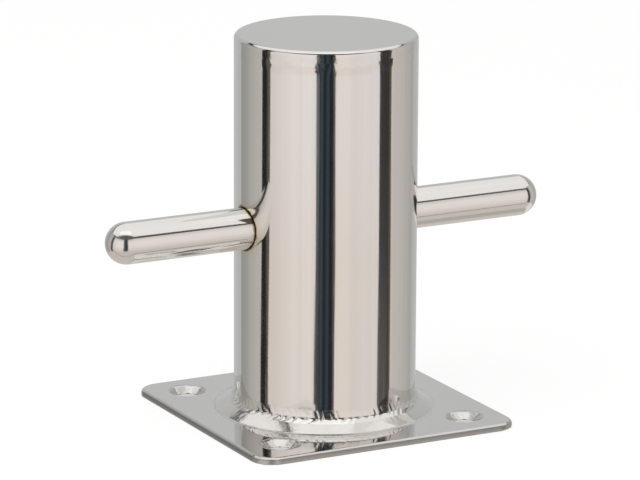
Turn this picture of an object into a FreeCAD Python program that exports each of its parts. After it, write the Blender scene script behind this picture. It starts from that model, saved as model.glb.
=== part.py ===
import FreeCAD, Part
import math
import os
from FreeCAD import Vector

# Mooring bollard in polished stainless steel: a capped round post stands in the raised collar
# of a square base plate, and one straight round bar passes through both of its walls.
# Origin: centre of the plate's underside. +Z is up, +X runs along the cross bar.

# Driving dimensions, in millimetres and degrees.

# Base plate
plate_side = 120.0
plate_thickness = 3.0
plate_corner_radius = 9.5
plate_top_round = 1.0

# Countersunk screw holes, one near each corner of the plate
screw_spacing_x = 86.0
screw_spacing_y = 86.0
screw_hole_diameter = 10.0
countersink_angle = 90.0
screw_hole_land = 0.4

# Collar pressed up out of the plate round the post
collar_width = 7.7
collar_slope_angle = 27.5
collar_clearance = 0.1

# Post
post_diameter = 76.0
post_wall = 2.0
post_foot_clearance = 0.3
overall_height = 161.5

# Cap, and the groove that is filled with weld and ground flush
cap_thickness = 3.5
cap_rim_chamfer = 0.8
cap_groove_depth = 1.2

# Cross bar
bar_diameter = 17.5
bar_length = 200.0
bar_height = 83.0
bar_clearance = 0.3

# Weld beads
base_weld_height = 1.4
base_weld_reach = 2.2
base_weld_bulge = 0.45
bar_weld_leg = 4.0

# Places that follow from the sizes above.
post_radius = post_diameter / 2
bore_radius = post_radius - post_wall
bar_radius = bar_diameter / 2
post_top = overall_height - cap_thickness
neck_radius = post_radius + collar_clearance
collar_foot_radius = neck_radius + collar_width
slope = math.tan(math.radians(collar_slope_angle))
collar_skin = plate_thickness / math.cos(math.radians(collar_slope_angle))
neck_top = plate_thickness + collar_width * slope
neck_bottom = neck_top - collar_skin
axis_z = Vector(0, 0, 1)
axis_x = Vector(1, 0, 0)


def collar_top_at(radius):
    """Height of the collar's upper surface at a distance from the post's axis."""
    return plate_thickness + (collar_foot_radius - radius) * slope


def ring(section):
    """Turn a closed section, given as edges in the XZ plane, once about the post's axis."""
    face = Part.Face(Part.Wire(section))
    return Part.makeSolid(face.revolve(Vector(0, 0, 0), axis_z, 360).Shells[0])


def at(radius, height):
    """Point of a turned section."""
    return Vector(radius, 0, height)


def polygon(points):
    """Closed run of straight edges through the points."""
    return [Part.makeLine(start, end) for start, end in zip(points, points[1:] + points[:1])]


def level_edges(solid, height):
    """Edges of a solid that lie flat at one height."""
    return [edge for edge in solid.Edges
            if all(abs(vertex.Z - height) < 1e-6 for vertex in edge.Vertexes)
            and abs(edge.CenterOfMass.z - height) < 1e-6]


def plate_blank():
    """Square plate with round corners and a rounded upper edge."""
    half = plate_side / 2
    corner = Part.makeBox(plate_side, plate_side, plate_thickness, Vector(-half, -half, 0))
    upright = [edge for edge in corner.Edges
               if abs(edge.Vertexes[0].Z - edge.Vertexes[-1].Z) > plate_thickness / 2]
    blank = corner.makeFillet(plate_corner_radius, upright)
    return blank.makeFillet(min(plate_top_round, 0.9 * plate_thickness),
                            level_edges(blank, plate_thickness))


def screw_places():
    """Centres of the four screw holes."""
    return [Vector(x * screw_spacing_x / 2, y * screw_spacing_y / 2, 0)
            for x in (-1, 1) for y in (-1, 1)]


def screw_hole():
    """Cutter for one hole: a straight land below and the countersink above."""
    shank = screw_hole_diameter / 2
    depth = 2 * plate_thickness - screw_hole_land
    mouth = shank + depth * math.tan(math.radians(countersink_angle / 2))
    drill = Part.makeCylinder(shank, 3 * plate_thickness, Vector(0, 0, -plate_thickness))
    cone = Part.makeCone(shank, mouth, depth, Vector(0, 0, screw_hole_land))
    return drill.fuse(cone)


def make_base_plate():
    """Plate with its pressed collar, hollow beneath, and four countersunk holes."""
    raised = Part.makeCone(collar_foot_radius, neck_radius, neck_top - plate_thickness,
                           Vector(0, 0, plate_thickness))
    plate = plate_blank().fuse(raised)
    hollow_foot = neck_radius + neck_bottom / slope
    hollow = ring(polygon([at(0, 0), at(hollow_foot, 0), at(neck_radius, neck_bottom),
                           at(0, neck_bottom)]))
    plate = plate.cut(hollow)
    plate = plate.cut(Part.makeCylinder(neck_radius, 2 * neck_top))
    for place in screw_places():
        cutter = screw_hole()
        cutter.translate(place)
        plate = plate.cut(cutter)
    return plate.removeSplitter()


def make_post_tube():
    """Round tube with a weld bevel at its top end and the bar's hole through both walls."""
    tube = ring(polygon([at(bore_radius, post_foot_clearance),
                         at(post_radius, post_foot_clearance),
                         at(post_radius, post_top - cap_groove_depth),
                         at(post_radius - cap_groove_depth, post_top),
                         at(bore_radius, post_top)]))
    hole = Part.makeCylinder(bar_radius + bar_clearance, 2 * post_diameter,
                             Vector(-post_diameter, 0, bar_height), axis_x)
    return tube.cut(hole)


def make_top_cap():
    """Disc on the post's end, with a broken edge above and a weld bevel below."""
    return ring(polygon([at(0, post_top),
                         at(post_radius - cap_groove_depth, post_top),
                         at(post_radius, post_top + cap_groove_depth),
                         at(post_radius, overall_height - cap_rim_chamfer),
                         at(post_radius - cap_rim_chamfer, overall_height),
                         at(0, overall_height)]))


def make_cap_weld():
    """Weld that fills the groove between cap and post, ground flush with the post."""
    return ring(polygon([at(post_radius - cap_groove_depth, post_top),
                         at(post_radius, post_top - cap_groove_depth),
                         at(post_radius, post_top + cap_groove_depth)]))


def make_cross_bar():
    """Solid round bar with a half-ball at each end."""
    end = bar_length / 2
    straight = end - bar_radius
    ball = bar_radius * math.sqrt(0.5)
    section = [
        Part.Arc(Vector(-end, 0, 0), Vector(-straight - ball, 0, ball),
                 Vector(-straight, 0, bar_radius)).toShape(),
        Part.makeLine(Vector(-straight, 0, bar_radius), Vector(straight, 0, bar_radius)),
        Part.Arc(Vector(straight, 0, bar_radius), Vector(straight + ball, 0, ball),
                 Vector(end, 0, 0)).toShape(),
        Part.makeLine(Vector(end, 0, 0), Vector(-end, 0, 0)),
    ]
    face = Part.Face(Part.Wire(section))
    bar = Part.makeSolid(face.revolve(Vector(0, 0, 0), axis_x, 360).Shells[0])
    bar.translate(Vector(0, 0, bar_height))
    return bar


def make_base_weld():
    """Bead laid in the corner between the collar and the post, full along its crown line."""
    toe_on_post = at(post_radius, neck_top + base_weld_height)
    toe_radius = post_radius + base_weld_reach
    toe_on_collar = at(toe_radius, collar_top_at(toe_radius))
    middle = (toe_on_post + toe_on_collar) * 0.5
    chord = toe_on_collar - toe_on_post
    outward = Vector(-chord.z, 0, chord.x)
    outward.normalize()
    crown = middle + outward * base_weld_bulge
    return ring(polygon([toe_on_post, crown, toe_on_collar, at(neck_radius, neck_top),
                         at(post_radius, neck_top)]))


def make_bar_weld(side):
    """Fillet bead round the bar inside the post, on one wall. side is -1 or 1."""
    wall = math.sqrt(bore_radius ** 2 - bar_radius ** 2)
    toe = wall - bar_weld_leg
    length = post_radius - toe
    root = bar_radius + bar_weld_leg * length / (bore_radius - toe)
    fillet = Part.makeCone(bar_radius, root, length, Vector(side * toe, 0, bar_height),
                           axis_x * side)
    bore = Part.makeCylinder(bore_radius, post_top)
    bar = Part.makeCylinder(bar_radius, 2 * length, Vector(side * (toe - length / 2), 0, bar_height),
                            axis_x * side)
    return fillet.common(bore).cut(bar)


os.makedirs("parts", exist_ok=True)
nodes = {
    "base_plate": make_base_plate(),
    "post_tube": make_post_tube(),
    "top_cap": make_top_cap(),
    "cross_bar": make_cross_bar(),
    "base_weld": make_base_weld(),
    "cap_weld": make_cap_weld(),
    "bar_weld_left": make_bar_weld(-1),
    "bar_weld_right": make_bar_weld(1),
}
for name, shape in nodes.items():
    box = shape.BoundBox
    print(f"{name}: valid {shape.isValid()}, solids {len(shape.Solids)}, "
          f"volume {shape.Volume:.1f} mm3, z {box.ZMin:.3f} to {box.ZMax:.3f}")
    shape.exportStep("parts/" + name + ".step")
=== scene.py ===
import math
from typing import NamedTuple

import bmesh
import bpy
from mathutils import Matrix, Vector, noise


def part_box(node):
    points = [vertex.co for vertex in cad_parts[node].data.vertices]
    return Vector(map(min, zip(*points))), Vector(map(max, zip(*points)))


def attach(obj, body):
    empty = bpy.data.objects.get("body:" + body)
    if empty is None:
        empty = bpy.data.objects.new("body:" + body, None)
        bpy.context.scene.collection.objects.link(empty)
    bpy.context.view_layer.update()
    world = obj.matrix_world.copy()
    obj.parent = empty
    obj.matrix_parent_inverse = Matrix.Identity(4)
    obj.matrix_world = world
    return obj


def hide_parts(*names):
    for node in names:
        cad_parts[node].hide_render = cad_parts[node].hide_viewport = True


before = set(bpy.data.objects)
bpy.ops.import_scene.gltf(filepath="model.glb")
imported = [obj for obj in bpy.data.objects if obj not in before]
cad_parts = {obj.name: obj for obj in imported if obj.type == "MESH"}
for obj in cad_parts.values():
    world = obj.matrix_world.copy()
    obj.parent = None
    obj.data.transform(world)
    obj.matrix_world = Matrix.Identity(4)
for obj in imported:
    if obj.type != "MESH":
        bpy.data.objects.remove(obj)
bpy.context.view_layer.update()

bl_info = {
    "name": "Mooring bollard",
    "version": (1, 0, 0),
    "blender": (4, 5, 0),
    "location": "3D View > Sidebar > Bollard",
    "description": "Dresses a packed mooring bollard in polished steel and sets up its studio",
    "category": "Object",
}

MM = 0.001
AXIS_X = Vector((1, 0, 0))
AXIS_Y = Vector((0, 1, 0))
AXIS_Z = Vector((0, 0, 1))

# Points this close become one, and a point this close to a height lies on it, in metres.
NEAR = 1e-6

# Steps of a full turn, and of the quarter turn that rounds the bar's end.
POST_STEPS = 256
HOLE_STEPS = 96
BAR_STEPS = 128
BAR_END_STEPS = 24
BEAD_STEPS = 1440

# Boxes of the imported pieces, in metres.
plate_low, plate_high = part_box("base_plate")
post_low, post_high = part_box("post_tube")
cap_low, cap_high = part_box("top_cap")
bar_low, bar_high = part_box("cross_bar")
bead_low, bead_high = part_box("base_weld")


def tidy(length):
    """A length from the frame, to the nearest hundredth of a millimetre."""
    return round(length, 5)


class BollardSizes(bpy.types.PropertyGroup):
    """Sizes of the bollard's pieces"""

    plate_side: bpy.props.FloatProperty(
        name="Plate side", description="Side of the square base plate",
        default=tidy(plate_high.x - plate_low.x), unit="LENGTH")
    plate_thickness: bpy.props.FloatProperty(
        name="Plate thickness", description="Thickness of the base plate",
        default=3.0 * MM, unit="LENGTH")
    plate_corner: bpy.props.FloatProperty(
        name="Plate corner", description="Radius of the plate's four corners",
        default=9.5 * MM, unit="LENGTH")
    plate_upper_round: bpy.props.FloatProperty(
        name="Upper edge round", description="Round on the plate's upper edge",
        default=1.6 * MM, unit="LENGTH")
    plate_lower_round: bpy.props.FloatProperty(
        name="Lower edge round", description="Round on the plate's lower edge",
        default=0.45 * MM, unit="LENGTH")
    collar_foot: bpy.props.FloatProperty(
        name="Collar foot radius", description="Radius at which the collar rises from the plate",
        default=45.8 * MM, unit="LENGTH")
    collar_bore: bpy.props.FloatProperty(
        name="Collar bore radius", description="Radius of the collar's opening for the post",
        default=38.1 * MM, unit="LENGTH")
    collar_top: bpy.props.FloatProperty(
        name="Collar top", description="Height of the collar's upper lip",
        default=tidy(plate_high.z), unit="LENGTH")
    collar_crease: bpy.props.FloatProperty(
        name="Collar crease", description="Width of the round at the collar's foot",
        default=0.8 * MM, unit="LENGTH")
    hole_spacing: bpy.props.FloatProperty(
        name="Hole spacing", description="Distance between the screw holes' centres",
        default=86.0 * MM, unit="LENGTH")
    hole_radius: bpy.props.FloatProperty(
        name="Hole radius", description="Radius of a screw hole at its land",
        default=5.0 * MM, unit="LENGTH")
    hole_land: bpy.props.FloatProperty(
        name="Hole land", description="Height of the straight part under the countersink",
        default=0.4 * MM, unit="LENGTH")
    countersink_rim: bpy.props.FloatProperty(
        name="Countersink rim", description="Width of the soft round on a countersink's rim",
        default=0.7 * MM, unit="LENGTH")
    post_radius: bpy.props.FloatProperty(
        name="Post radius", description="Outer radius of the post",
        default=tidy(post_high.x), unit="LENGTH")
    post_wall: bpy.props.FloatProperty(
        name="Post wall", description="Thickness of the post's wall",
        default=2.0 * MM, unit="LENGTH")
    post_foot: bpy.props.FloatProperty(
        name="Post foot", description="Height of the post's lower end",
        default=tidy(post_low.z), unit="LENGTH")
    post_top: bpy.props.FloatProperty(
        name="Post top", description="Height of the post's upper end",
        default=tidy(cap_low.z), unit="LENGTH")
    overall_height: bpy.props.FloatProperty(
        name="Overall height", description="Height of the cap's upper face",
        default=tidy(cap_high.z), unit="LENGTH")
    cap_groove: bpy.props.FloatProperty(
        name="Cap groove", description="Depth of the weld groove between post and cap",
        default=1.2 * MM, unit="LENGTH")
    cap_rim: bpy.props.FloatProperty(
        name="Cap rim", description="Round on the cap's rim",
        default=1.85 * MM, unit="LENGTH")
    bar_radius: bpy.props.FloatProperty(
        name="Bar radius", description="Radius of the cross bar",
        default=tidy((bar_high.z - bar_low.z) / 2), unit="LENGTH")
    bar_length: bpy.props.FloatProperty(
        name="Bar length", description="Length of the cross bar over its round ends",
        default=tidy(bar_high.x - bar_low.x), unit="LENGTH")
    bar_height: bpy.props.FloatProperty(
        name="Bar height", description="Height of the cross bar's axis",
        default=tidy((bar_high.z + bar_low.z) / 2), unit="LENGTH")
    bar_clearance: bpy.props.FloatProperty(
        name="Bar clearance", description="Gap between the bar and the hole in the post",
        default=0.3 * MM, unit="LENGTH")
    bead_wash_top: bpy.props.FloatProperty(
        name="Bead wash top", description="Height at which the foot bead runs out on the post",
        default=12.2 * MM, unit="LENGTH")
    bead_wash_depth: bpy.props.FloatProperty(
        name="Bead wash depth", description="Thickness of the foot bead's run-out on the post",
        default=0.32 * MM, unit="LENGTH")
    bead_hollow_height: bpy.props.FloatProperty(
        name="Bead hollow height", description="Height at which the bead turns outward",
        default=tidy(bead_high.z) - 0.55 * MM, unit="LENGTH")
    bead_hollow_round: bpy.props.FloatProperty(
        name="Bead hollow round", description="Width of the round where the bead turns outward",
        default=0.8 * MM, unit="LENGTH")
    bead_toe_radius: bpy.props.FloatProperty(
        name="Bead toe radius", description="Radius of the foot bead's lower toe on the collar",
        default=tidy(bead_high.x), unit="LENGTH")
    bead_ripples: bpy.props.IntProperty(
        name="Bead ripples", description="Number of ripples round the foot bead",
        default=69)
    bead_ripple_depth: bpy.props.FloatProperty(
        name="Ripple depth", description="Depth of the grooves between the foot bead's ripples",
        default=0.13 * MM, unit="LENGTH")


class BollardFinish(bpy.types.PropertyGroup):
    """Colours and polish of the bollard's steel"""

    steel: bpy.props.FloatVectorProperty(
        name="Polished steel", description="Colour of the mirror polished steel",
        default=(0.80, 0.79, 0.775), subtype="COLOR", size=3)
    bead: bpy.props.FloatVectorProperty(
        name="Weld bead", description="Colour of the brightened weld bead",
        default=(0.80, 0.785, 0.765), subtype="COLOR", size=3)
    straw: bpy.props.FloatVectorProperty(
        name="Straw tint", description="Heat tint that is left beside a weld",
        default=(0.78, 0.67, 0.44), subtype="COLOR", size=3)
    # The brown line is darkest heat tint together with painted shade of the gap at the bar's joint.
    brown: bpy.props.FloatVectorProperty(
        name="Brown line", description="Darkest heat tint, close to the bar's joint",
        default=(0.17, 0.13, 0.09), subtype="COLOR", size=3)
    raw_weld: bpy.props.FloatVectorProperty(
        name="Raw weld", description="Colour of the untouched weld inside the post",
        default=(0.42, 0.39, 0.35), subtype="COLOR", size=3)
    polish: bpy.props.FloatProperty(
        name="Polish roughness", description="Roughness of the mirror polish",
        default=0.05, min=0.0, max=1.0, subtype="FACTOR")
    bead_roughness: bpy.props.FloatProperty(
        name="Bead roughness", description="Roughness of the weld bead",
        default=0.12, min=0.0, max=1.0, subtype="FACTOR")


class BollardStudio(bpy.types.PropertyGroup):
    """Camera, floor and light of the studio"""

    camera_azimuth: bpy.props.FloatProperty(
        name="Camera azimuth", description="Direction of the camera round the post",
        default=math.radians(-27.74), subtype="ANGLE")
    camera_elevation: bpy.props.FloatProperty(
        name="Camera elevation", description="Height of the camera above the horizon",
        default=math.radians(14.475), subtype="ANGLE")
    camera_roll: bpy.props.FloatProperty(
        name="Camera roll", description="Tilt of the picture",
        default=math.radians(0.271), subtype="ANGLE")
    camera_distance: bpy.props.FloatProperty(
        name="Camera distance", description="Distance from the camera to the middle of the picture",
        default=1.8073, unit="LENGTH")
    camera_lens: bpy.props.FloatProperty(
        name="Camera lens", description="Focal length of the lens",
        default=244.78, subtype="DISTANCE_CAMERA")
    aim_height: bpy.props.FloatProperty(
        name="Aim height", description="Height at which the camera aims",
        default=76.0 * MM, unit="LENGTH")
    aim_aside: bpy.props.FloatProperty(
        name="Aim aside", description="How far to the right of the post the camera aims",
        default=-2.223 * MM, unit="LENGTH")
    aim_above: bpy.props.FloatProperty(
        name="Aim above", description="How far above the aim height the camera aims",
        default=-2.185 * MM, unit="LENGTH")
    floor_side: bpy.props.FloatProperty(
        name="Floor side", description="Side of the pale floor",
        default=12.0, unit="LENGTH")
    tent_radius: bpy.props.FloatProperty(
        name="Tent radius", description="Distance of the light tent's walls",
        default=4.0, unit="LENGTH")
    soft_level: bpy.props.FloatProperty(
        name="Soft level", description="Level of the soft light from all round",
        default=0.62, min=0.0, max=2.0)
    key_power: bpy.props.FloatProperty(
        name="Key power", description="Power of the large soft lamp above",
        default=34.0, unit="POWER")
    key_side: bpy.props.FloatProperty(
        name="Key side", description="Side of the large soft lamp above",
        default=2.4, unit="LENGTH")
    key_distance: bpy.props.FloatProperty(
        name="Key distance", description="Distance of the large soft lamp above",
        default=2.6, unit="LENGTH")


# Small helpers for meshes

def reach(place):
    """Distance of a place from the post's axis."""
    return math.hypot(place.x, place.y)


def chain(bm, points, closed=False):
    """Join points with edges, one after another."""
    corners = [bm.verts.new(point) for point in points]
    following = corners[1:] + corners[:1] if closed else corners[1:]
    return [bm.edges.new(pair) for pair in zip(corners, following)]


def section(bm, points, closed=False):
    """Lay out half a section through the post's axis, from its radii and heights."""
    return chain(bm, [(radius, 0, height) for radius, height in points], closed)


def turn(bm, edges, steps, centre=(0, 0, 0), axis=AXIS_Z):
    """Turn a section once about an axis."""
    corners = list(dict.fromkeys(corner for edge in edges for corner in edge.verts))
    bmesh.ops.spin(bm, geom=corners + list(edges), cent=centre, axis=axis,
                   angle=2 * math.pi, steps=steps, use_merge=True, use_duplicate=False)
    bmesh.ops.remove_doubles(bm, verts=bm.verts[:], dist=NEAR)


def edges_at(bm, height):
    """Edges that lie level at that height."""
    return [edge for edge in bm.edges
            if all(abs(corner.co.z - height) < NEAR for corner in edge.verts)]


def hoop(bm, radius, height):
    """Edges of the ring with that radius and height."""
    def on_it(corner):
        return abs(reach(corner.co) - radius) < 2 * NEAR and abs(corner.co.z - height) < 2 * NEAR
    return [edge for edge in bm.edges if all(on_it(corner) for corner in edge.verts)]


def round_off(bm, edges, width, segments):
    """Round a run of edges."""
    bmesh.ops.bevel(bm, geom=edges, offset=width, offset_type="OFFSET", segments=segments,
                    profile=0.5, affect="EDGES", material=-1)


def object_from(bm, name):
    """Turn a finished mesh into an object of the scene."""
    mesh = bpy.data.meshes.new(name)
    bm.to_mesh(mesh)
    bm.free()
    made = bpy.data.objects.new(name, mesh)
    bpy.context.scene.collection.objects.link(made)
    return made


def piece_from(bm, name, material, node, sharp=35):
    """Make the finished piece, smooth up to the sharp angle in degrees, and replace its node."""
    bmesh.ops.recalc_face_normals(bm, faces=bm.faces[:])
    if any(not edge.is_manifold for edge in bm.edges):
        raise RuntimeError(f"{name} isn't closed")
    for face in bm.faces:
        face.smooth = True
    for edge in bm.edges:
        if edge.calc_face_angle() > math.radians(sharp):
            edge.smooth = False
    piece = object_from(bm, name)
    piece.data.materials.append(material)
    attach(piece, "root")
    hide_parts(node)
    return piece


def weigh_normals(piece):
    """Let the large faces set the shading, so that flats stay flat beside their rounds."""
    weighted = piece.modifiers.new("flat faces lead", "WEIGHTED_NORMAL")
    weighted.mode = "FACE_AREA"
    weighted.weight = 60
    weighted.keep_sharp = True


def true_walls(mesh, walls):
    """Shade the walls at these radii as true rounds, with normals that face out or in."""
    normals = [Vector(corner.vector) for corner in mesh.corner_normals]
    for face in mesh.polygons:
        corners = [mesh.vertices[index].co for index in face.vertices]
        upright_face = abs(face.normal.z) < 0.01
        for radius, side in walls:
            if upright_face and all(abs(reach(corner) - radius) < 0.01 * MM for corner in corners):
                for loop, corner in zip(face.loop_indices, corners):
                    normals[loop] = side * Vector((corner.x, corner.y, 0)).normalized()
    mesh.normals_split_custom_set(normals)


def collar_slope(sizes):
    """How far the collar rises for each length towards the post."""
    return (sizes.collar_top - sizes.plate_thickness) / (sizes.collar_foot - sizes.collar_bore)


def countersink_mouth(sizes):
    """Radius of a 90 degree countersink at the plate's upper face."""
    return sizes.hole_radius + sizes.plate_thickness - sizes.hole_land


# Small helpers for materials

class Recipe:
    """The nodes of a material or of the world, added one after another."""

    def __init__(self, owner):
        self.owner = owner
        owner.use_nodes = True
        self.tree = owner.node_tree
        self.tree.nodes.clear()
        self.column = 0

    def add(self, kind, inputs=None, **settings):
        node = self.tree.nodes.new(kind)
        self.column += 1
        node.location = (180 * self.column, -60 * (self.column % 5))
        for key, value in settings.items():
            setattr(node, key, value)
        for key, value in (inputs or {}).items():
            if isinstance(value, bpy.types.NodeSocket):
                self.tree.links.new(value, node.inputs[key])
            else:
                node.inputs[key].default_value = value
        return node

    def math(self, operation, first, second=0.0):
        return self.add("ShaderNodeMath", {0: first, 1: second}, operation=operation).outputs[0]

    def vector(self, operation, first, second=(0, 0, 0)):
        node = self.add("ShaderNodeVectorMath", {0: first, 1: second}, operation=operation)
        return node.outputs["Value" if operation in ("LENGTH", "DISTANCE") else "Vector"]

    def along(self, place, axis):
        return self.add("ShaderNodeSeparateXYZ", {"Vector": place}).outputs[axis]

    def apart(self, value, other):
        return self.math("ABSOLUTE", self.math("SUBTRACT", value, other))

    def place(self):
        return self.add("ShaderNodeTexCoord").outputs["Object"]

    def noise(self, place, scale, detail=2.0, roughness=0.5):
        return self.add("ShaderNodeTexNoise", {
            "Vector": place, "Scale": scale, "Detail": detail, "Roughness": roughness,
        }).outputs["Fac"]

    def stretched(self, place, scale):
        return self.add("ShaderNodeMapping", {"Vector": place, "Scale": scale}).outputs["Vector"]

    def span(self, value, low, high, new_low, new_high):
        """Carry a value from one range to another, smoothly and no further."""
        return self.add("ShaderNodeMapRange", {
            "Value": value, "From Min": low, "From Max": high,
            "To Min": new_low, "To Max": new_high,
        }, interpolation_type="SMOOTHSTEP").outputs["Result"]

    def blend(self, share, first, second):
        """Mix two colours."""
        return self.add("ShaderNodeMix", {0: share, 6: first, 7: second},
                        data_type="RGBA").outputs[2]

    def bump(self, height, distance, under=None):
        inputs = {"Height": height, "Distance": distance, "Strength": 1.0}
        if under is not None:
            inputs["Normal"] = under
        return self.add("ShaderNodeBump", inputs).outputs["Normal"]

    def metal(self, colour, roughness, normal):
        shader = self.add("ShaderNodeBsdfPrincipled", {
            "Base Color": colour, "Metallic": 1.0, "Roughness": roughness, "Normal": normal,
        })
        self.add("ShaderNodeOutputMaterial", {"Surface": shader.outputs[0]})
        return self.owner

    def seen_rays(self):
        """1 for what is seen at once, in metal or through glass, and 0 for light on things."""
        rays = self.add("ShaderNodeLightPath").outputs
        seen = self.math("MAXIMUM", rays["Is Camera Ray"], rays["Is Glossy Ray"])
        return self.math("MAXIMUM", seen, rays["Is Transmission Ray"])

    def mixed(self, share, first, second, output):
        """Mix two shaders into the output."""
        shader = self.add("ShaderNodeMixShader",
                          {0: share, 1: first.outputs[0], 2: second.outputs[0]})
        self.add(output, {"Surface": shader.outputs[0]})


class Zone(NamedTuple):
    """A part of a piece's surface that isn't as even and bright as the mirror polish.

    The mask is 1 in it and 0 outside. It has dents of that scale and depth, is that much rougher,
    and is darkened by that share.
    """

    mask: bpy.types.NodeSocket
    scale: float = 0.0
    depth: float = 0.0
    matt: float = 0.0
    dark: float = 0.0


def opaque(colour, factor=1.0):
    """A colour with full alpha, lightened or darkened by a factor."""
    return tuple(channel * factor for channel in colour) + (1.0,)


def heat_tint(recipe, place, finish, sizes, colour, tint_reach):
    """Straw heat tint where the bar passes through the post's wall, and a brown line of darkest
    heat tint with painted shade of the gap at the joint.
    """
    out = recipe.vector("LENGTH", recipe.vector("MULTIPLY", place, (1, 1, 0)))
    level = recipe.vector("SUBTRACT", place, (0, 0, sizes.bar_height))
    across = recipe.vector("LENGTH", recipe.vector("MULTIPLY", level, (0, 1, 1)))
    distance = recipe.math("MAXIMUM", recipe.apart(out, sizes.post_radius),
                           recipe.apart(across, sizes.bar_radius))
    wander = recipe.math("MULTIPLY", recipe.noise(place, 330.0), 1.6 * MM)
    distance = recipe.math("ADD", distance, wander)
    straw = recipe.span(distance, 1.4 * MM, tint_reach, 0.38, 0.0)
    # Brown line at the joint: darkest heat tint with painted shade of the gap.
    brown = recipe.span(distance, 1.2 * MM, 2.0 * MM, 0.9, 0.0)
    colour = recipe.blend(straw, colour, opaque(finish.straw))
    return recipe.blend(brown, colour, opaque(finish.brown))


def polished_steel(name, finish, sizes, waviness, zones=None, tint_reach=6.0 * MM):
    """Mirror polished stainless steel with faint waves, polishing lines and haze."""
    recipe = Recipe(bpy.data.materials.new(name))
    place = recipe.place()
    cloud = recipe.noise(place, 35.0, 3.0)
    colour = recipe.blend(cloud, opaque(finish.steel, 0.985), opaque(finish.steel, 1.012))
    colour = heat_tint(recipe, place, finish, sizes, colour, tint_reach)
    lines = recipe.noise(recipe.stretched(place, (90.0, 90.0, 2200.0)), 1.0, 3.0)
    haze = recipe.span(recipe.noise(place, 60.0, 4.0, 0.6), 0.35, 0.75,
                       finish.polish, finish.polish * 1.7)
    roughness = recipe.math("ADD", haze, recipe.math("MULTIPLY", lines, 0.02))
    relief = recipe.bump(recipe.noise(place, 45.0, 1.0), waviness)
    for zone in (zones(recipe, place, sizes) if zones else ()):
        if zone.depth:
            dents = recipe.math("MULTIPLY", recipe.noise(place, zone.scale), zone.mask)
            relief = recipe.bump(dents, zone.depth, relief)
        if zone.matt:
            matt = recipe.math("MULTIPLY", zone.mask, zone.matt)
            roughness = recipe.math("ADD", roughness, matt)
        if zone.dark:
            dark = recipe.math("MULTIPLY", zone.mask, zone.dark)
            colour = recipe.blend(dark, colour, (0, 0, 0, 1))
    return recipe.metal(colour, roughness, recipe.bump(lines, 0.0006 * MM, relief))


def plate_zones(recipe, place, sizes):
    """The pressed collar, the countersinks and the cut edge, duller than the flat plate, and a
    little darker along the collar's crease. The countersinks, the edge round and the cut edge carry
    painted shade.
    """
    flat = recipe.vector("MULTIPLY", place, (1, 1, 0))
    out = recipe.vector("LENGTH", flat)
    foot = sizes.collar_foot
    collar = recipe.span(out, foot - 0.5 * MM, foot + 1.5 * MM, 1.0, 0.0)
    crease = recipe.span(recipe.apart(out, foot + 0.4 * MM), 0.2 * MM, 1.0 * MM, 1.0, 0.0)

    # The plate's four quarters are alike, so the zones are laid out on one.
    quarter = recipe.vector("ABSOLUTE", flat)
    centre = (sizes.hole_spacing / 2, sizes.hole_spacing / 2, 0)
    mouth = countersink_mouth(sizes)
    # sink is the countersinks' zone: rougher, dented and darkened with painted shade.
    sink = recipe.span(recipe.vector("DISTANCE", quarter, centre),
                       mouth + 0.2 * MM, mouth + 1.1 * MM, 1.0, 0.0)

    # How far a point lies beyond the straight lines through the corners' centres.
    straight = sizes.plate_side / 2 - sizes.plate_corner
    beyond = recipe.vector("SUBTRACT", quarter, (straight, straight, 0))
    beyond = recipe.vector("MAXIMUM", beyond)
    # side is the plate's edge round and side face: rougher and darkened with painted shade.
    side = recipe.span(recipe.vector("LENGTH", beyond), sizes.plate_corner - 1.6 * MM,
                       sizes.plate_corner - 0.8 * MM, 0.0, 1.0)
    # ground is the share of the cut edge's painted shade: full along the straight sides and 0.4 at
    # the rounded corners, which are so painted lighter.
    corner = recipe.math("MINIMUM", recipe.along(beyond, "X"), recipe.along(beyond, "Y"))
    ground = recipe.span(corner, 0.3 * MM, 2.5 * MM, 1.0, 0.4)

    # The cut edge below the upper round gets painted shade, and line adds more painted shade along
    # its upper part, fading downwards.
    height = recipe.along(place, "Z")
    top = sizes.plate_thickness
    below = recipe.span(height, top - 0.9 * MM, top - 0.5 * MM, 1.0, 0.0)
    lowest = recipe.span(height, 0.6 * MM, top - 1.1 * MM, 1.0, 0.0)
    edge = recipe.math("MULTIPLY", side, below)
    cut = recipe.math("MULTIPLY", ground, edge)
    line = recipe.math("MULTIPLY", cut, recipe.math("SUBTRACT", 1.0, lowest))
    # The dark shares of sink, side, cut and line are painted shade.
    return (Zone(collar, 190.0, 0.16 * MM, matt=0.06),
            Zone(crease, 300.0, 0.05 * MM, matt=0.3, dark=0.08),
            Zone(sink, 300.0, 0.45 * MM, matt=0.15, dark=0.12),
            Zone(side, 120.0, 0.1 * MM, matt=0.06, dark=0.14),
            Zone(edge, 600.0, 0.05 * MM, matt=0.26),
            Zone(cut, dark=0.3),
            Zone(line, dark=0.3))


def bar_zones(recipe, place, sizes):
    """The bar's round ends, polished by hand."""
    out = recipe.math("ABSOLUTE", recipe.along(place, "X"))
    end = recipe.span(out, sizes.bar_length / 2 - 11 * MM, sizes.bar_length / 2 - 6 * MM,
                      0.0, 1.0)
    return (Zone(end, 130.0, 0.03 * MM, matt=0.09),)


def post_zones(recipe, place, sizes):
    """The post's upper end, ground after welding."""
    ground = recipe.span(recipe.along(place, "Z"), sizes.post_top - 7 * MM,
                         sizes.post_top - 2 * MM, 0.0, 1.0)
    return (Zone(ground, 120.0, 0.3 * MM),)


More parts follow.
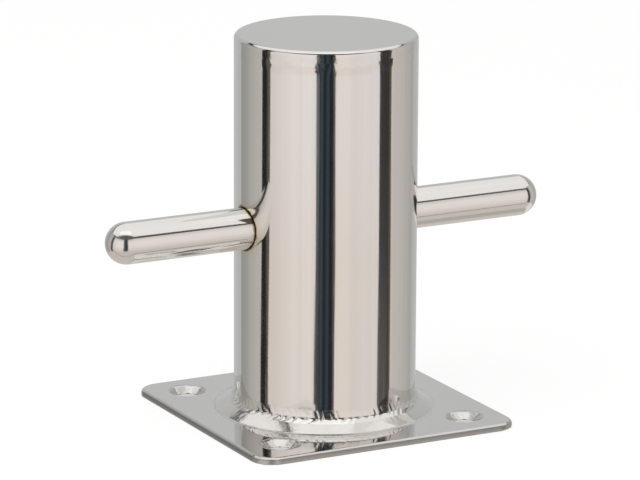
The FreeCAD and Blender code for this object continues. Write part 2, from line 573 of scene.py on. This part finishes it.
def weld_steel(name, colour, cloud, shades, spots, roughness, grain, depth):
    """A weld's steel: cloud, spots and grain are each the scale and detail of a noise."""
    recipe = Recipe(bpy.data.materials.new(name))
    place = recipe.place()
    darker, lighter = shades
    tone = recipe.blend(recipe.noise(place, *cloud), opaque(colour, darker),
                        opaque(colour, lighter))
    gloss = recipe.span(recipe.noise(place, *spots), 0.3, 0.7, *roughness)
    return recipe.metal(tone, gloss, recipe.bump(recipe.noise(place, *grain), depth))


def ground_steel(finish):
    """Weld between post and cap, ground flush and polished, not quite true."""
    return weld_steel("ground cap weld", finish.steel, cloud=(120.0, 3.0), shades=(0.97, 1.01),
                      spots=(400.0, 3.0), roughness=(finish.polish, finish.polish * 2.5),
                      grain=(220.0, 1.5), depth=0.06 * MM)


def bead_steel(finish):
    """Weld bead, brightened but left as laid."""
    return weld_steel("foot bead steel", finish.bead, cloud=(150.0, 3.0), shades=(0.93, 1.02),
                      spots=(900.0, 3.0),
                      roughness=(finish.bead_roughness * 0.6, finish.bead_roughness * 1.5),
                      grain=(2600.0, 2.0), depth=0.004 * MM)


def raw_weld_steel(finish):
    """Untouched weld inside the post, with scale on it."""
    return weld_steel("raw inner weld", finish.raw_weld, cloud=(300.0, 4.0), shades=(0.7, 1.2),
                      spots=(700.0, 3.0), roughness=(0.35, 0.6),
                      grain=(900.0, 3.0), depth=0.05 * MM)


# The pieces

class BOLLARD_OT_base_plate(bpy.types.Operator):
    """Square plate with its pressed collar and four countersunk holes"""

    bl_idname = "bollard.base_plate"
    bl_label = "Base plate"

    def execute(self, context):
        sizes = context.scene.bollard_sizes
        bm = bmesh.new()
        self.add_sides(bm, sizes)
        self.add_collar(bm, sizes)
        for x in (-1, 1):
            for y in (-1, 1):
                self.add_hole(bm, sizes, x * sizes.hole_spacing / 2, y * sizes.hole_spacing / 2)
        for height in (sizes.plate_thickness, 0.0):
            open_edges = [edge for edge in edges_at(bm, height) if edge.is_boundary]
            bmesh.ops.triangle_fill(bm, use_beauty=True, use_dissolve=False, edges=open_edges)
        material = polished_steel("polished plate steel", context.scene.bollard_finish, sizes,
                                  0.012 * MM, plate_zones)
        piece = piece_from(bm, "polished_base_plate", material, "base_plate")
        weigh_normals(piece)
        return {"FINISHED"}

    def add_sides(self, bm, sizes):
        """The plate's four sides with their rounds, open above and below."""
        top = sizes.plate_thickness
        bmesh.ops.create_grid(bm, x_segments=1, y_segments=1, size=sizes.plate_side / 2)
        bmesh.ops.bevel(bm, geom=bm.verts[:], offset=sizes.plate_corner, offset_type="OFFSET",
                        segments=20, profile=0.5, affect="VERTICES", material=-1)
        lifted = bmesh.ops.extrude_face_region(bm, geom=bm.faces[:], use_keep_orig=True)
        bmesh.ops.translate(bm, vec=(0, 0, top), verts=[
            part for part in lifted["geom"] if isinstance(part, bmesh.types.BMVert)])
        bmesh.ops.recalc_face_normals(bm, faces=bm.faces[:])
        round_off(bm, edges_at(bm, top), sizes.plate_upper_round, 8)
        round_off(bm, edges_at(bm, 0.0), sizes.plate_lower_round, 4)
        # The large faces above and below go, and are filled again round the collar and the holes.
        flats = [face for face in bm.faces if abs(face.normal.z) > 0.999 and len(face.verts) > 8]
        bmesh.ops.delete(bm, geom=flats, context="FACES_ONLY")

    def add_collar(self, bm, sizes):
        """The collar's cone, lip and hollow underside, with a flat ring round its foot."""
        top = sizes.plate_thickness
        flat_ring = 2 * MM
        slope = collar_slope(sizes)
        under = sizes.collar_top - top * math.sqrt(1 + slope ** 2)
        hollow = sizes.collar_bore + under / slope
        turn(bm, section(bm, [(sizes.collar_foot + flat_ring, top), (sizes.collar_foot, top),
                              (sizes.collar_bore, sizes.collar_top),
                              (sizes.collar_bore, under), (hollow, 0.0)]), POST_STEPS)
        round_off(bm, hoop(bm, sizes.collar_foot, top), sizes.collar_crease, 6)

    def add_hole(self, bm, sizes, x, y):
        """A countersunk hole's wall, with a flat ring round its mouth."""
        top = sizes.plate_thickness
        flat_ring = 1.2 * MM
        mouth = countersink_mouth(sizes)
        hole = bmesh.new()
        turn(hole, section(hole, [(mouth + flat_ring, top), (mouth, top),
                                  (sizes.hole_radius, sizes.hole_land),
                                  (sizes.hole_radius, 0.0)]), HOLE_STEPS)
        round_off(hole, hoop(hole, mouth, top), sizes.countersink_rim, 4)
        bmesh.ops.translate(hole, vec=(x, y, 0), verts=hole.verts[:])
        mesh = bpy.data.meshes.new("screw hole")
        hole.to_mesh(mesh)
        hole.free()
        bm.from_mesh(mesh)
        bpy.data.meshes.remove(mesh)


class BOLLARD_OT_post(bpy.types.Operator):
    """Polished round post with the bar's hole through both walls"""

    bl_idname = "bollard.post"
    bl_label = "Post"

    def execute(self, context):
        sizes = context.scene.bollard_sizes
        outer = sizes.post_radius
        bore = outer - sizes.post_wall
        bm = bmesh.new()
        turn(bm, section(bm, [(bore, sizes.post_foot), (outer, sizes.post_foot),
                              (outer, sizes.post_top - sizes.cap_groove),
                              (outer - sizes.cap_groove, sizes.post_top),
                              (bore, sizes.post_top)], closed=True), POST_STEPS)
        material = polished_steel("polished post steel", context.scene.bollard_finish, sizes,
                                  0.006 * MM, post_zones)
        piece = piece_from(bm, "polished_post", material, "post_tube")
        self.drill(context, piece, sizes)
        true_walls(piece.data, ((outer, 1), (bore, -1)))
        return {"FINISHED"}

    def drill(self, context, piece, sizes):
        """Cut the bar's hole through both walls."""
        radius = sizes.bar_radius + sizes.bar_clearance
        bm = bmesh.new()
        bmesh.ops.create_cone(bm, cap_ends=True, segments=HOLE_STEPS, radius1=radius,
                              radius2=radius, depth=4 * sizes.post_radius)
        bmesh.ops.rotate(bm, matrix=Matrix.Rotation(math.pi / 2, 3, "Y"), verts=bm.verts[:])
        bmesh.ops.translate(bm, vec=(0, 0, sizes.bar_height), verts=bm.verts[:])
        drill = object_from(bm, "bar hole drill")
        cut = piece.modifiers.new("bar hole", "BOOLEAN")
        cut.operation = "DIFFERENCE"
        cut.solver = "EXACT"
        cut.object = drill
        depsgraph = context.evaluated_depsgraph_get()
        drilled = bpy.data.meshes.new_from_object(piece.evaluated_get(depsgraph))
        piece.modifiers.remove(cut)
        drill_mesh = drill.data
        bpy.data.objects.remove(drill)
        bpy.data.meshes.remove(drill_mesh)
        if len(drilled.polygons) < POST_STEPS:
            raise RuntimeError("the post was lost when its holes were cut")
        piece.data = drilled
        drilled.name = "polished_post"


class BOLLARD_OT_cap(bpy.types.Operator):
    """Cap on the post's end and the ground weld that holds it"""

    bl_idname = "bollard.cap"
    bl_label = "Cap and its weld"

    def execute(self, context):
        sizes = context.scene.bollard_sizes
        finish = context.scene.bollard_finish
        outer = sizes.post_radius
        inner = outer - sizes.cap_groove
        bm = bmesh.new()
        turn(bm, section(bm, [(0.0, sizes.post_top), (inner, sizes.post_top),
                              (outer, sizes.post_top + sizes.cap_groove),
                              (outer, sizes.overall_height), (0.0, sizes.overall_height)]),
             POST_STEPS)
        round_off(bm, hoop(bm, outer, sizes.overall_height), sizes.cap_rim, 10)
        material = polished_steel("polished cap steel", finish, sizes, 0.01 * MM)
        piece = piece_from(bm, "polished_cap", material, "top_cap")
        weigh_normals(piece)

        bm = bmesh.new()
        turn(bm, section(bm, [(inner, sizes.post_top), (outer, sizes.post_top - sizes.cap_groove),
                              (outer, sizes.post_top + sizes.cap_groove)], closed=True),
             POST_STEPS)
        piece_from(bm, "ground_cap_weld", ground_steel(finish), "cap_weld")
        return {"FINISHED"}


class BOLLARD_OT_cross_bar(bpy.types.Operator):
    """Round bar with a half-ball at each end"""

    bl_idname = "bollard.cross_bar"
    bl_label = "Cross bar"

    def execute(self, context):
        sizes = context.scene.bollard_sizes
        end = sizes.bar_length / 2
        straight = end - sizes.bar_radius
        height = sizes.bar_height
        bm = bmesh.new()
        tip = bm.verts.new((-end, 0, height))
        bmesh.ops.spin(bm, geom=[tip], cent=(-straight, 0, height), axis=AXIS_Y,
                       angle=math.pi / 2, steps=BAR_END_STEPS, use_merge=False,
                       use_duplicate=False)
        shoulder = max(bm.verts, key=lambda corner: corner.co.z)
        drawn = bmesh.ops.extrude_vert_indiv(bm, verts=[shoulder])
        bmesh.ops.translate(bm, vec=(2 * straight, 0, 0), verts=drawn["verts"])
        bmesh.ops.spin(bm, geom=drawn["verts"], cent=(straight, 0, height), axis=AXIS_Y,
                       angle=math.pi / 2, steps=BAR_END_STEPS, use_merge=False,
                       use_duplicate=False)
        turn(bm, bm.edges[:], BAR_STEPS, centre=(0, 0, height), axis=AXIS_X)
        material = polished_steel("polished bar steel", context.scene.bollard_finish, sizes,
                                  0.006 * MM, bar_zones, tint_reach=5.0 * MM)
        piece_from(bm, "polished_cross_bar", material, "cross_bar")
        return {"FINISHED"}


class BOLLARD_OT_foot_bead(bpy.types.Operator):
    """Rippled weld bead between the post and the collar"""

    bl_idname = "bollard.foot_bead"
    bl_label = "Foot bead"

    # How far the bead's hidden sides go into the post and below the collar's lip, and how far
    # its thin upper end does.
    bite = 0.05 * MM
    upper_bite = 0.015 * MM
    # A groove's half width as a share of a ripple, and the swell's height as one of its depth.
    groove_width = 0.15
    swell_height = 0.22
    # Depth of the grooves on the run-out, as a share of those on the bead's face.
    wash_share = 0.45
    # Tilt of the ripples, in degrees: on the run-out, and how much more on the face.
    wash_lean = 3
    face_lean = 42

    def execute(self, context):
        sizes = context.scene.bollard_sizes
        foot_height = (sizes.plate_thickness
                       + (sizes.collar_foot - sizes.bead_toe_radius) * collar_slope(sizes))
        hollow = sizes.post_radius + sizes.bead_wash_depth
        root_height = sizes.collar_top - self.bite
        skin = sizes.post_radius - 0.02 * MM
        bm = bmesh.new()
        turn(bm, section(bm, [(sizes.post_radius - self.upper_bite, sizes.bead_wash_top),
                              (hollow, sizes.bead_hollow_height),
                              (sizes.bead_toe_radius, foot_height),
                              (sizes.collar_bore, root_height),
                              (sizes.post_radius - self.bite, root_height)], closed=True),
             BEAD_STEPS)
        round_off(bm, hoop(bm, hollow, sizes.bead_hollow_height), sizes.bead_hollow_round, 8)
        # The long edges down the run-out and the face are cut, to give the ripples their points.
        runs = []
        for edge in bm.edges:
            near, far = sorted(reach(corner.co) for corner in edge.verts)
            if edge.calc_length() > 0.9 * MM and near > skin and far - near < 1.9 * MM:
                runs.append(edge)
        bmesh.ops.subdivide_edges(bm, edges=runs, cuts=7)
        # All points move with the ripples but those in the post and those at the root.
        for corner in bm.verts:
            radius, height = reach(corner.co), corner.co.z
            at_root = radius < sizes.collar_bore + 0.01 * MM and height < root_height + NEAR
            if radius < skin or at_root:
                continue
            angle = math.atan2(corner.co.y, corner.co.x)
            out, up = self.ripple(sizes, angle, height, foot_height)
            radius += out
            corner.co = Vector((radius * math.cos(angle), radius * math.sin(angle), height + up))
        piece_from(bm, "rippled_foot_bead", bead_steel(context.scene.bollard_finish),
                   "base_weld", sharp=60)
        return {"FINISHED"}

    def ripple(self, sizes, angle, height, foot_height):
        """How far a point of the bead's face moves outward and up."""
        around = Vector((math.cos(angle), math.sin(angle), 0))

        def wander(scale, start=(0, 0, 0)):
            return noise.noise(around * scale + Vector(start))

        # Share of the way up the run-out, and of the way down the face to the toe.
        middle = sizes.bead_hollow_height
        wash = max(height - middle, 0) / (sizes.bead_wash_top - middle)
        face = max(middle - height, 0) / (middle - foot_height)

        # The ripples are uneven in width and lean back from the middle.
        turns = sizes.bead_ripples * angle / (2 * math.pi)
        turns += 1.6 * wander(2.3, (3.1, 0.4, 0)) + 0.4 * wander(11.0, (0.7, 5.2, 0))
        turns += 0.6 * wash + 0.9 * face
        away = abs(turns - round(turns))
        groove = math.exp(-(away / self.groove_width) ** 2)
        swell = math.cos(2 * math.pi * away)

        # They are uneven in depth too, and fade towards the run-out's top and the toe.
        uneven = 0.95 + 0.8 * wander(6.0, (9.0, 2.0, 0)) + 0.5 * wander(34.0, (1.0, 7.0, 0))
        fade = (1 - wash) * min(1, (1 - face) * 1.6) ** 1.2
        depth = sizes.bead_ripple_depth * max(uneven, 0.15) * fade
        if wash > 0:
            depth *= self.wash_share
        lift = -depth * (groove + self.swell_height * swell)

        # They move square to the bead: nearly level on the run-out, and slanting on the face.
        lean = min(max((middle + 0.4 * MM - height) / (0.8 * MM), 0), 1)
        lean = math.radians(self.wash_lean + self.face_lean * lean * lean * (3 - 2 * lean))
        out = lift * math.cos(lean) - sizes.bead_wash_depth * wash * (1 - wash)

        # The toe wanders in and out along the collar.
        jag = (0.25 * wander(13.0) - 0.12 * groove) * MM * face ** 3
        return out + jag, lift * math.sin(lean) - jag * collar_slope(sizes)


class BOLLARD_OT_bar_welds(bpy.types.Operator):
    """Finish of the two welds round the bar inside the post"""

    bl_idname = "bollard.bar_welds"
    bl_label = "Inner bar welds"

    def execute(self, context):
        material = raw_weld_steel(context.scene.bollard_finish)
        for name in ("bar_weld_left", "bar_weld_right"):
            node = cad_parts[name]
            node.data.materials.clear()
            node.data.materials.append(material)
        return {"FINISHED"}


# The studio

# Rows of the tent's walls, in degrees above the horizon seen from the bar. A seventh row is each
# strip's own top.
TENT_ROWS = (-30, -16.4, -14.8, -12.4, 0, 15)

# Changes of a strip's tone at the seven rows: none, the front panels' fall of light, the right
# strip's pale foot, and the gap's edge that turns teal higher up.
EVEN = ((1, 1, 1),) * 7
FRONT_FALL = ((0.86, 0.83, 0.79), (0.965, 0.945, 0.93), (0.975, 0.94, 0.92),
              (1, 1, 1.02), (1.06, 1.05, 1.05), (1.05, 1.05, 1.05), (0.80, 0.80, 0.80))
LOWER_PALE = ((2.0, 2.0, 2.0), (2.0, 2.0, 2.0), (1.25, 1.25, 1.25),
              (0.9, 0.9, 0.88), (1, 1, 1), (1, 1, 1), (1, 1, 1))
UPPER_TEAL = ((0.6, 0.5, 0.5), (0.6, 0.5, 0.5), (0.75, 0.7, 0.7),
              (1.3, 1.3, 1.3), (1.2, 1.2, 1.2), (1, 1, 1), (1, 1, 1))


def upright(azimuth):
    """A strip's left edge that stands at one azimuth in all seven rows."""
    return (azimuth,) * 7


class Strip(NamedTuple):
    """Upright strip of the tent, up to the next one's left edge.

    The left edge has an azimuth at each row, in degrees to the right of the camera's side. The
    tones are those of the strip's left and right edge. The top is in degrees as the rows are.
    """

    name: str
    lefts: tuple
    left_tone: tuple
    right_tone: tuple
    by_row: tuple = EVEN
    top: float = 31


TENT_STRIPS = (
    Strip("left_backdrop", upright(-180), (0.575, 0.585, 0.58), (0.525, 0.524, 0.505), top=33),
    Strip("left_wall", upright(-132), (0.335, 0.33, 0.315), (0.58, 0.55, 0.52)),
    Strip("left_dark_strip", (-92, -88.8, -87.3, -86.4, -85.5, -85, -85),
          (0.022, 0.021, 0.020), (0.024, 0.024, 0.021)),
    Strip("left_dark_strip_edge", (-79, -79, -80.2, -78.4, -77, -76, -76),
          (0.085, 0.08, 0.07), (0.13, 0.12, 0.10)),
    Strip("front_left_panel_edge", (-77.5, -76.2, -74.6, -73.3, -72, -71, -70),
          (0.78, 0.72, 0.68), (0.895, 0.84, 0.80), FRONT_FALL),
    Strip("front_left_panel", upright(-40), (0.895, 0.84, 0.80), (0.91, 0.865, 0.835), FRONT_FALL),
    Strip("gap_teal_edge", (-15, -13.7, -11.7, -11.9, -11.6, -11.6, -11.6),
          (0.12, 0.145, 0.15), (0.105, 0.13, 0.135), UPPER_TEAL),
    Strip("gap_second", upright(-8), (0.035, 0.045, 0.05), (0.04, 0.05, 0.056)),
    Strip("gap_third", upright(-6), (0.058, 0.074, 0.084), (0.05, 0.064, 0.074)),
    Strip("gap_fourth", upright(-3.4), (0.018, 0.026, 0.034), (0.02, 0.027, 0.034)),
    Strip("gap_fifth", upright(0.3), (0.042, 0.052, 0.066), (0.048, 0.06, 0.074)),
    Strip("gap_sixth", upright(4.3), (0.02, 0.025, 0.032), (0.018, 0.019, 0.02)),
    Strip("gap_brown", upright(7.9), (0.03, 0.026, 0.02), (0.05, 0.04, 0.03)),
    Strip("gap_brown_edge", upright(9.3), (0.095, 0.07, 0.05), (0.16, 0.12, 0.09)),
    Strip("front_right_panel", (11.2, 11.6, 12.6, 11.7, 11.5, 11.5, 11.5),
          (0.885, 0.815, 0.755), (0.83, 0.79, 0.77), FRONT_FALL),
    Strip("right_dark_strip", (69.5, 69.4, 70.6, 70.2, 70.2, 70.2, 70.2),
          (0.058, 0.056, 0.058), (0.046, 0.042, 0.036), LOWER_PALE),
    Strip("right_dark_strip_edge", upright(84.5), (0.05, 0.045, 0.035), (0.13, 0.115, 0.095)),
    Strip("right_wall", (90, 90, 90, 89, 88.8, 88.8, 88.8),
          (0.67, 0.615, 0.575), (0.43, 0.425, 0.415)),
    Strip("right_backdrop", upright(139.5), (0.515, 0.51, 0.495), (0.548, 0.552, 0.542), top=35),
    Strip("far_backdrop", upright(162), (0.548, 0.552, 0.542), (0.575, 0.585, 0.58), top=32),
)

DARK_ROOM = (0.11, 0.10, 0.09)
BLACK_FLAG = (0.025, 0.025, 0.024)

# Flat sheets of the tent: name, height, corners as (to the right, towards the camera), tone.
TENT_SHEETS = (
    ("table_rail", -0.85, ((-3, 0.495), (3, 0.495), (3, 0.55), (-3, 0.55)), (0.20, 0.18, 0.165)),
    ("table_card", -3.15, ((2.6, 0), (6, 0), (6, -5), (1.3, -5), (1.6, -2.4), (2.3, -0.7)),
     (0.86, 0.83, 0.80)),
    # A darker sheet on the table: a painted shadow of the table, seen only in the metal.
    ("painted_table_shadow", -3.0, ((0.95, -1.3), (2.0, 0.1), (2.5, -0.1), (1.6, -1.5)),
     (0.50, 0.485, 0.455)),
    ("overhead_softbox", 3.3,
     ((-3.57, 2.05), (3.57, 2.05), (3.87, 1.41), (4.6, 0), (5.2, -1.6), (2.3, -3.7), (1.2, -4.2),
      (-0.3, -4.2), (-2.0, -3.55), (-5.2, -1.2), (-4.6, 0), (-3.87, 1.41)), (0.965, 0.94, 0.925)),
    ("softbox_far_edge", 3.3, ((-0.6, -4.2), (1.6, -4.2), (1.6, -5.35), (-0.6, -5.35)),
     (0.80, 0.79, 0.78)),
    ("left_black_flag", 3.35, ((-5.2, -1.0), (-1.7, -3.3), (-1.7, -7), (-8, -4)), BLACK_FLAG),
    ("overhead_lamp", 3.25, ((-1.9, 0.45), (1.45, 0.45), (1.45, 2.0), (-1.9, 2.0)),
     (1.22, 1.2, 1.18)),
    ("right_black_flag", 3.35, ((5.2, -1.4), (2.1, -3.4), (2.1, -7), (8, -4)), BLACK_FLAG),
    ("dark_room_roof", 9.0, ((-9, 9), (9, 9), (9, -9), (-9, -9)), DARK_ROOM),
    ("table", -3.2, ((-9, 9), (9, 9), (9, -9), (-9, -9)), (0.66, 0.61, 0.56)),
)


def tent_glow():
    """Glow whose tone comes from the panel's own tone attribute, with faint upright folds."""
    recipe = Recipe(bpy.data.materials.new("tent glow"))
    tone = recipe.add("ShaderNodeAttribute", attribute_name="tone")
    folds = recipe.noise(recipe.stretched(recipe.place(), (1.7, 1.7, 0.12)), 1.0, 3.0)
    strength = recipe.span(folds, 0.3, 0.7, 0.965, 1.03)
    glow = recipe.add("ShaderNodeEmission", {"Color": tone.outputs["Color"], "Strength": strength})
    recipe.add("ShaderNodeOutputMaterial", {"Surface": glow.outputs[0]})
    return recipe.owner


def stage_piece(bm, name, material):
    """Make a piece of the studio from its mesh."""
    piece = object_from(bm, name)
    piece.data.materials.append(material)
    return piece


def tent_piece(bm, name, glow, tone=None):
    """Make a piece of the tent, of one tone if it is given, that shows only in the metal."""
    if tone is not None:
        tones = bm.verts.layers.float_color.new("tone")
        for corner in bm.verts:
            corner[tones] = (*tone, 1.0)
    piece = stage_piece(bm, name, glow)
    piece.visible_camera = False
    piece.visible_diffuse = False
    piece.visible_shadow = False
    piece.visible_volume_scatter = False


def studio_direction(studio, azimuth, elevation):
    """Direction from the bollard to a place in the studio, with both angles in degrees."""
    round_post = studio.camera_azimuth + math.radians(azimuth)
    rise = math.radians(elevation)
    return Vector((math.sin(round_post) * math.cos(rise), -math.cos(round_post) * math.cos(rise),
                   math.sin(rise)))


class BOLLARD_OT_studio(bpy.types.Operator):
    """Pale floor, light tent, lamp, world and camera"""

    bl_idname = "bollard.studio"
    bl_label = "Studio"

    def execute(self, context):
        studio = context.scene.bollard_studio
        sizes = context.scene.bollard_sizes
        self.make_floor(studio, sizes)
        self.make_tent(studio, sizes)
        self.make_world(context.scene, studio)
        self.make_lamp(context.scene, studio)
        self.make_camera(context.scene, studio)
        context.scene.view_settings.view_transform = "Standard"
        return {"FINISHED"}

    def make_floor(self, studio, sizes):
        """Floor that is seen as white but for the bollard's shadow, with painted shade under the
        plate.
        """
        bm = bmesh.new()
        bmesh.ops.create_grid(bm, x_segments=1, y_segments=1, size=studio.floor_side / 2)
        recipe = Recipe(bpy.data.materials.new("pale floor"))
        place = recipe.place()
        tone = recipe.blend(recipe.noise(place, 3.0), (0.93, 0.93, 0.93, 1), (0.96, 0.96, 0.955, 1))
        out = recipe.vector("ABSOLUTE", place)
        out = recipe.math("MAXIMUM", recipe.along(out, "X"), recipe.along(out, "Y"))
        inside = sizes.plate_side / 2 - 1.5 * MM
        under = recipe.span(out, inside - 2 * MM, inside, 1.0, 0.0)
        # Under the plate the floor's colour is painted dark, a painted shadow that shows through
        # the holes, and its white glow eases off so that its real shade shows as well.
        tone = recipe.blend(under, tone, (0.42, 0.42, 0.41, 1))
        share = recipe.math("SUBTRACT", 0.8, recipe.math("MULTIPLY", under, 0.42))
        share = recipe.math("MULTIPLY", recipe.seen_rays(), share)
        matt = recipe.add("ShaderNodeBsdfDiffuse", {"Color": tone})
        glow = recipe.add("ShaderNodeEmission", {"Color": (1, 1, 1, 1), "Strength": 1.04})
        recipe.mixed(share, matt, glow, "ShaderNodeOutputMaterial")
        stage_piece(bm, "pale_floor", recipe.owner).visible_glossy = False

    def make_tent(self, studio, sizes):
        """Walls of strips round the bar, flat sheets above and below, and a dark room outside."""
        glow = tent_glow()
        middle = Vector((0, 0, sizes.bar_height))
        rights = [strip.lefts for strip in TENT_STRIPS[1:]] + [upright(180)]
        for strip, right_edge in zip(TENT_STRIPS, rights):
            self.make_strip(studio, strip, right_edge, middle, glow)
        across = studio_direction(studio, 90, 0)
        towards = studio_direction(studio, 0, 0)
        for name, height, corners, tone in TENT_SHEETS:
            bm = bmesh.new()
            outline = chain(bm, [across * right + towards * near + AXIS_Z * height
                                 for right, near in corners], closed=True)
            bmesh.ops.edgeloop_fill(bm, edges=outline)
            tent_piece(bm, name, glow, tone)
        bm = bmesh.new()
        bmesh.ops.create_cone(bm, cap_ends=False, segments=48, radius1=8.5, radius2=8.5, depth=18)
        tent_piece(bm, "dark_room_wall", glow, DARK_ROOM)

    def make_strip(self, studio, strip, rights, middle, glow):
        """One strip of the wall, with a corner every 8 degrees or so."""
        bm = bmesh.new()
        tones = bm.verts.layers.float_color.new("tone")
        steps = max(1, round((rights[3] - strip.lefts[3]) / 8))
        lines = []
        for row, left, right, change in zip((*TENT_ROWS, strip.top), strip.lefts, rights,
                                            strip.by_row):
            rise = AXIS_Z * math.tan(math.radians(row))
            line = []
            for step in range(steps + 1):
                share = step / steps
                level = studio_direction(studio, left + (right - left) * share, 0)
                corner = bm.verts.new(middle + (level + rise) * studio.tent_radius)
                tone = Vector(strip.left_tone).lerp(Vector(strip.right_tone), share)
                corner[tones] = (*(tone * Vector(change)), 1.0)
                line.append(corner)
            lines.append(line)
        for low, high in zip(lines, lines[1:]):
            bmesh.ops.bridge_loops(bm, edges=[
                bm.edges.get(pair) or bm.edges.new(pair)
                for line in (low, high) for pair in zip(line, line[1:])])
        tent_piece(bm, strip.name, glow)

    def make_world(self, scene, studio):
        """World that lights softly and is seen as white."""
        scene.world = bpy.data.worlds.new("soft studio")
        recipe = Recipe(scene.world)
        soft = recipe.add("ShaderNodeBackground",
                          {"Color": (1.0, 0.99, 0.98, 1), "Strength": studio.soft_level})
        white = recipe.add("ShaderNodeBackground", {"Color": (1, 1, 1, 1), "Strength": 1.0})
        recipe.mixed(recipe.seen_rays(), soft, white, "ShaderNodeOutputWorld")

    def make_lamp(self, scene, studio):
        """Large soft lamp above the camera's left shoulder."""
        lamp = bpy.data.lights.new("soft key lamp", "AREA")
        lamp.shape = "SQUARE"
        lamp.size = studio.key_side
        lamp.energy = studio.key_power
        holder = bpy.data.objects.new("soft_key_lamp", lamp)
        scene.collection.objects.link(holder)
        towards = studio_direction(studio, -35, 62)
        holder.location = towards * studio.key_distance
        holder.rotation_euler = towards.to_track_quat("Z", "Y").to_euler()
        holder.visible_glossy = False

    def make_camera(self, scene, studio):
        """Camera at the photograph's place, with its roll and framing."""
        back = studio_direction(studio, 0, math.degrees(studio.camera_elevation))
        level = Vector((math.cos(studio.camera_azimuth), math.sin(studio.camera_azimuth), 0))
        above = back.cross(level)
        roll = studio.camera_roll
        right = level * math.cos(roll) + above * math.sin(roll)
        up = above * math.cos(roll) - level * math.sin(roll)
        aim = Vector((0, 0, studio.aim_height)) + right * studio.aim_aside + up * studio.aim_above
        lens = bpy.data.cameras.new("photo camera")
        lens.sensor_width = 36.0
        lens.lens = studio.camera_lens
        lens.clip_start = 0.05
        lens.clip_end = 60.0
        camera = bpy.data.objects.new("photo_camera", lens)
        scene.collection.objects.link(camera)
        turned = Matrix((right, up, back)).transposed().to_4x4()
        turned.translation = aim + back * studio.camera_distance
        camera.matrix_world = turned
        scene.camera = camera


class BOLLARD_PT_pieces(bpy.types.Panel):
    """Lists the bollard's pieces and its studio"""

    bl_idname = "BOLLARD_PT_pieces"
    bl_label = "Mooring bollard"
    bl_space_type = "VIEW_3D"
    bl_region_type = "UI"
    bl_category = "Bollard"

    def draw(self, context):
        for operator in STEPS:
            self.layout.operator(operator.bl_idname)
        for group in (context.scene.bollard_sizes, context.scene.bollard_finish,
                      context.scene.bollard_studio):
            box = self.layout.box()
            for name in group.__annotations__:
                box.prop(group, name)


STEPS = (BOLLARD_OT_base_plate, BOLLARD_OT_post, BOLLARD_OT_cap, BOLLARD_OT_cross_bar,
         BOLLARD_OT_foot_bead, BOLLARD_OT_bar_welds, BOLLARD_OT_studio)
GROUPS = (BollardSizes, BollardFinish, BollardStudio)


def register():
    for kind in (*GROUPS, *STEPS, BOLLARD_PT_pieces):
        bpy.utils.register_class(kind)
    bpy.types.Scene.bollard_sizes = bpy.props.PointerProperty(type=BollardSizes)
    bpy.types.Scene.bollard_finish = bpy.props.PointerProperty(type=BollardFinish)
    bpy.types.Scene.bollard_studio = bpy.props.PointerProperty(type=BollardStudio)


def unregister():
    del bpy.types.Scene.bollard_studio
    del bpy.types.Scene.bollard_finish
    del bpy.types.Scene.bollard_sizes
    for kind in reversed((*GROUPS, *STEPS, BOLLARD_PT_pieces)):
        bpy.utils.unregister_class(kind)


def main():
    register()
    bpy.ops.bollard.base_plate()
    bpy.ops.bollard.post()
    bpy.ops.bollard.cap()
    bpy.ops.bollard.cross_bar()
    bpy.ops.bollard.foot_bead()
    bpy.ops.bollard.bar_welds()
    bpy.ops.bollard.studio()


if __name__ == "__main__":
    main()
